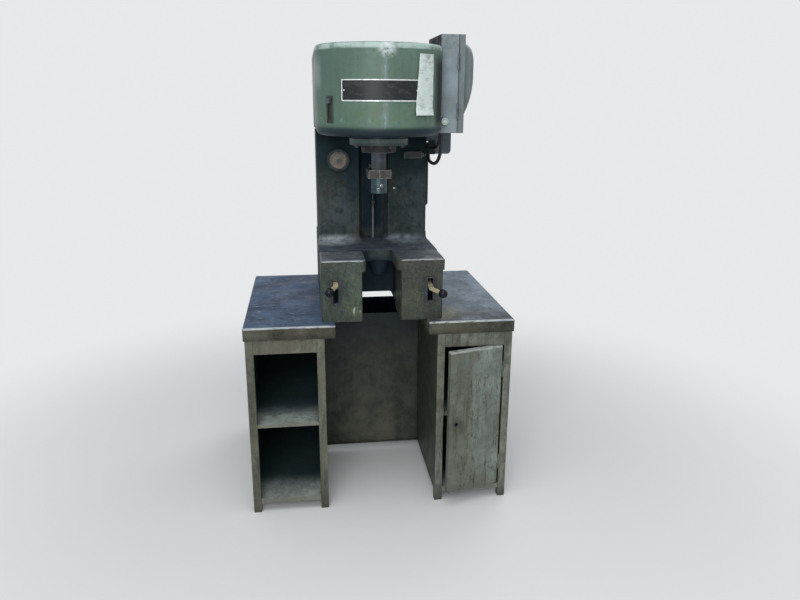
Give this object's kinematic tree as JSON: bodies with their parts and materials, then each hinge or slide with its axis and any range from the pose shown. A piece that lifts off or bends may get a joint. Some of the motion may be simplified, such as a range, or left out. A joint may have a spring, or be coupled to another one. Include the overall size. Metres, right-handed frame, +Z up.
{
  "type": "bench hydraulic press",
  "caption": "Round-headed bench hydraulic press with hand levers, vertical ram and stroke rod, on a steel bench with open and closed cabinets.",
  "frame": {"origin": "middle of the whole object's footprint, on the plane of the bench's feet", "axes": "+Z up, +X to the operator's right, -Y towards the operator"},
  "size_m": [0.954, 0.7974, 1.676],
  "materials": {
    "head_green": "old gloss enamel, worn",
    "frame_green": "grimy dark green enamel",
    "housing_green": "chipped olive enamel",
    "table_steel": "dark scratched sheet",
    "cabinet_paint": "grimy grey green enamel",
    "door_paint": "grimy grey green enamel",
    "panel_paint": "mottled grey green enamel",
    "cylinder_paint": "light sage enamel",
    "rusty_steel": "brown rust with bright edges",
    "holder_steel": "oily steel",
    "rod_steel": "dull steel",
    "dark_steel": "dark oiled steel",
    "rotor_steel": "bright steel",
    "lever_brass": "tarnished",
    "knob_black": "gloss black",
    "conduit_black": "satin black",
    "box_grey": "grey enamel, dusty",
    "motor_paint": "dark grey green enamel",
    "valve_iron": "bare machined iron",
    "dial_cream": "yellowed cream",
    "needle_black": "matt black",
    "gauge_glass": "clear glass",
    "starter_black": "matt black",
    "button_pale": "pale worn plastic"
  },
  "bodies": {
    "bench_and_frame": {"table_top_left": "table_steel", "table_top_right": "table_steel", "cabinet_left": "cabinet_paint", "cabinet_right": "cabinet_paint", "middle_shelves": "cabinet_paint", "bottom_shelves": "cabinet_paint", "knee_panel": "panel_paint", "bridge_shelf": "panel_paint", "hinge_pins": "dark_steel", "slot_plates": "rod_steel", "lever_pivot_pins": "dark_steel", "lever_springs": "dark_steel", "lever_housing_left": "housing_green", "lever_housing_right": "housing_green", "press_frame": "frame_green", "tank_cover": "frame_green", "hold_down_bolts": "dark_steel", "head_casting": "head_green", "selector_plate": "dark_steel", "cylinder": "cylinder_paint", "flange_bolts": "dark_steel", "gland": "rusty_steel", "main_valve": "valve_iron", "oil_pipes": "rod_steel", "gauge_case": "dark_steel", "gauge_dial": "dial_cream", "gauge_glass": "gauge_glass", "pressure_valve": "rusty_steel", "pressure_adjuster": "rusty_steel", "switch_box": "box_grey", "supply_bushing": "conduit_black", "starter": "starter_black", "box_bracket": "box_grey", "junction_block": "frame_green", "conduits": "conduit_black", "side_cable": "conduit_black", "motor": "motor_paint", "pump": "motor_paint", "rear_covers": "frame_green"},
    "ram_assembly": {"ram": "rusty_steel", "piston": "rotor_steel", "trip_arm": "rusty_steel", "tool_holder": "holder_steel", "tool_screw": "dark_steel"},
    "stroke_rod": {"stroke_rod": "rod_steel", "stop_collars": "dark_steel", "valve_spool": "rotor_steel"},
    "left_lever": {"hand_lever_left": "lever_brass", "lever_knob_left": "knob_black"},
    "right_lever": {"hand_lever_right": "lever_brass", "lever_knob_right": "knob_black"},
    "door": {"cabinet_door": "door_paint"},
    "box_cover": {"switch_box_cover": "box_grey"},
    "button": {"motor_button": "button_pale"},
    "pointer": {"gauge_needle": "needle_black"},
    "selector": {"selector_tab": "rod_steel"},
    "drive": {"motor_rotor": "rotor_steel", "coupling": "dark_steel", "pump_shaft": "rotor_steel"}
  },
  "joints": [
    {"name": "ram_slide", "type": "slide", "parent": "bench_and_frame", "child": "ram_assembly", "axis": [0, 0, -1], "range_m": [-0.045, 0.105]},
    {"name": "stroke_rod_slide", "type": "slide", "parent": "bench_and_frame", "child": "stroke_rod", "axis": [0, 0, 1], "range_m": [-0.006, 0.006]},
    {"name": "left_lever_hinge", "type": "hinge", "parent": "bench_and_frame", "child": "left_lever", "pos_m": [-0.156, -0.23327, 0.873], "axis": [1, 0, 0], "range_deg": [0, 20], "stiffness_Nm_per_rad": 2, "springref_deg": -14.32},
    {"name": "right_lever_hinge", "type": "hinge", "parent": "bench_and_frame", "child": "right_lever", "pos_m": [0.1755, -0.23327, 0.85], "axis": [1, 0, 0], "range_deg": [0, 20], "stiffness_Nm_per_rad": 2, "springref_deg": -14.32},
    {"name": "door_hinge", "type": "hinge", "parent": "bench_and_frame", "child": "door", "pos_m": [0.441, -0.34327, 0.336], "axis": [0, 0, 1], "range_deg": [-15.2, 100]},
    {"name": "box_cover_hinge", "type": "hinge", "parent": "bench_and_frame", "child": "box_cover", "pos_m": [0.29, -0.15707, 1.512], "axis": [0, 0, -1], "range_deg": [0, 110]},
    {"name": "motor_button_push", "type": "slide", "parent": "bench_and_frame", "child": "button", "axis": [0, 1, 0], "range_m": [0, 0.004], "stiffness_N_per_m": 600, "springref_m": -0.002},
    {"name": "gauge_pointer", "type": "hinge", "parent": "bench_and_frame", "child": "pointer", "pos_m": [-0.12, 0.07473, 1.237], "axis": [0, 1, 0], "range_deg": [0, 270], "stiffness_Nm_per_rad": 0.003},
    {"name": "selector_slide", "type": "slide", "parent": "bench_and_frame", "child": "selector", "axis": [0, 0, -1], "range_m": [0, 0.052]},
    {"name": "drive_spin", "type": "hinge", "parent": "bench_and_frame", "child": "drive", "pos_m": [0.011, 0.27173, 0.956], "axis": [0, 0, 1], "continuous": true}
  ]
}
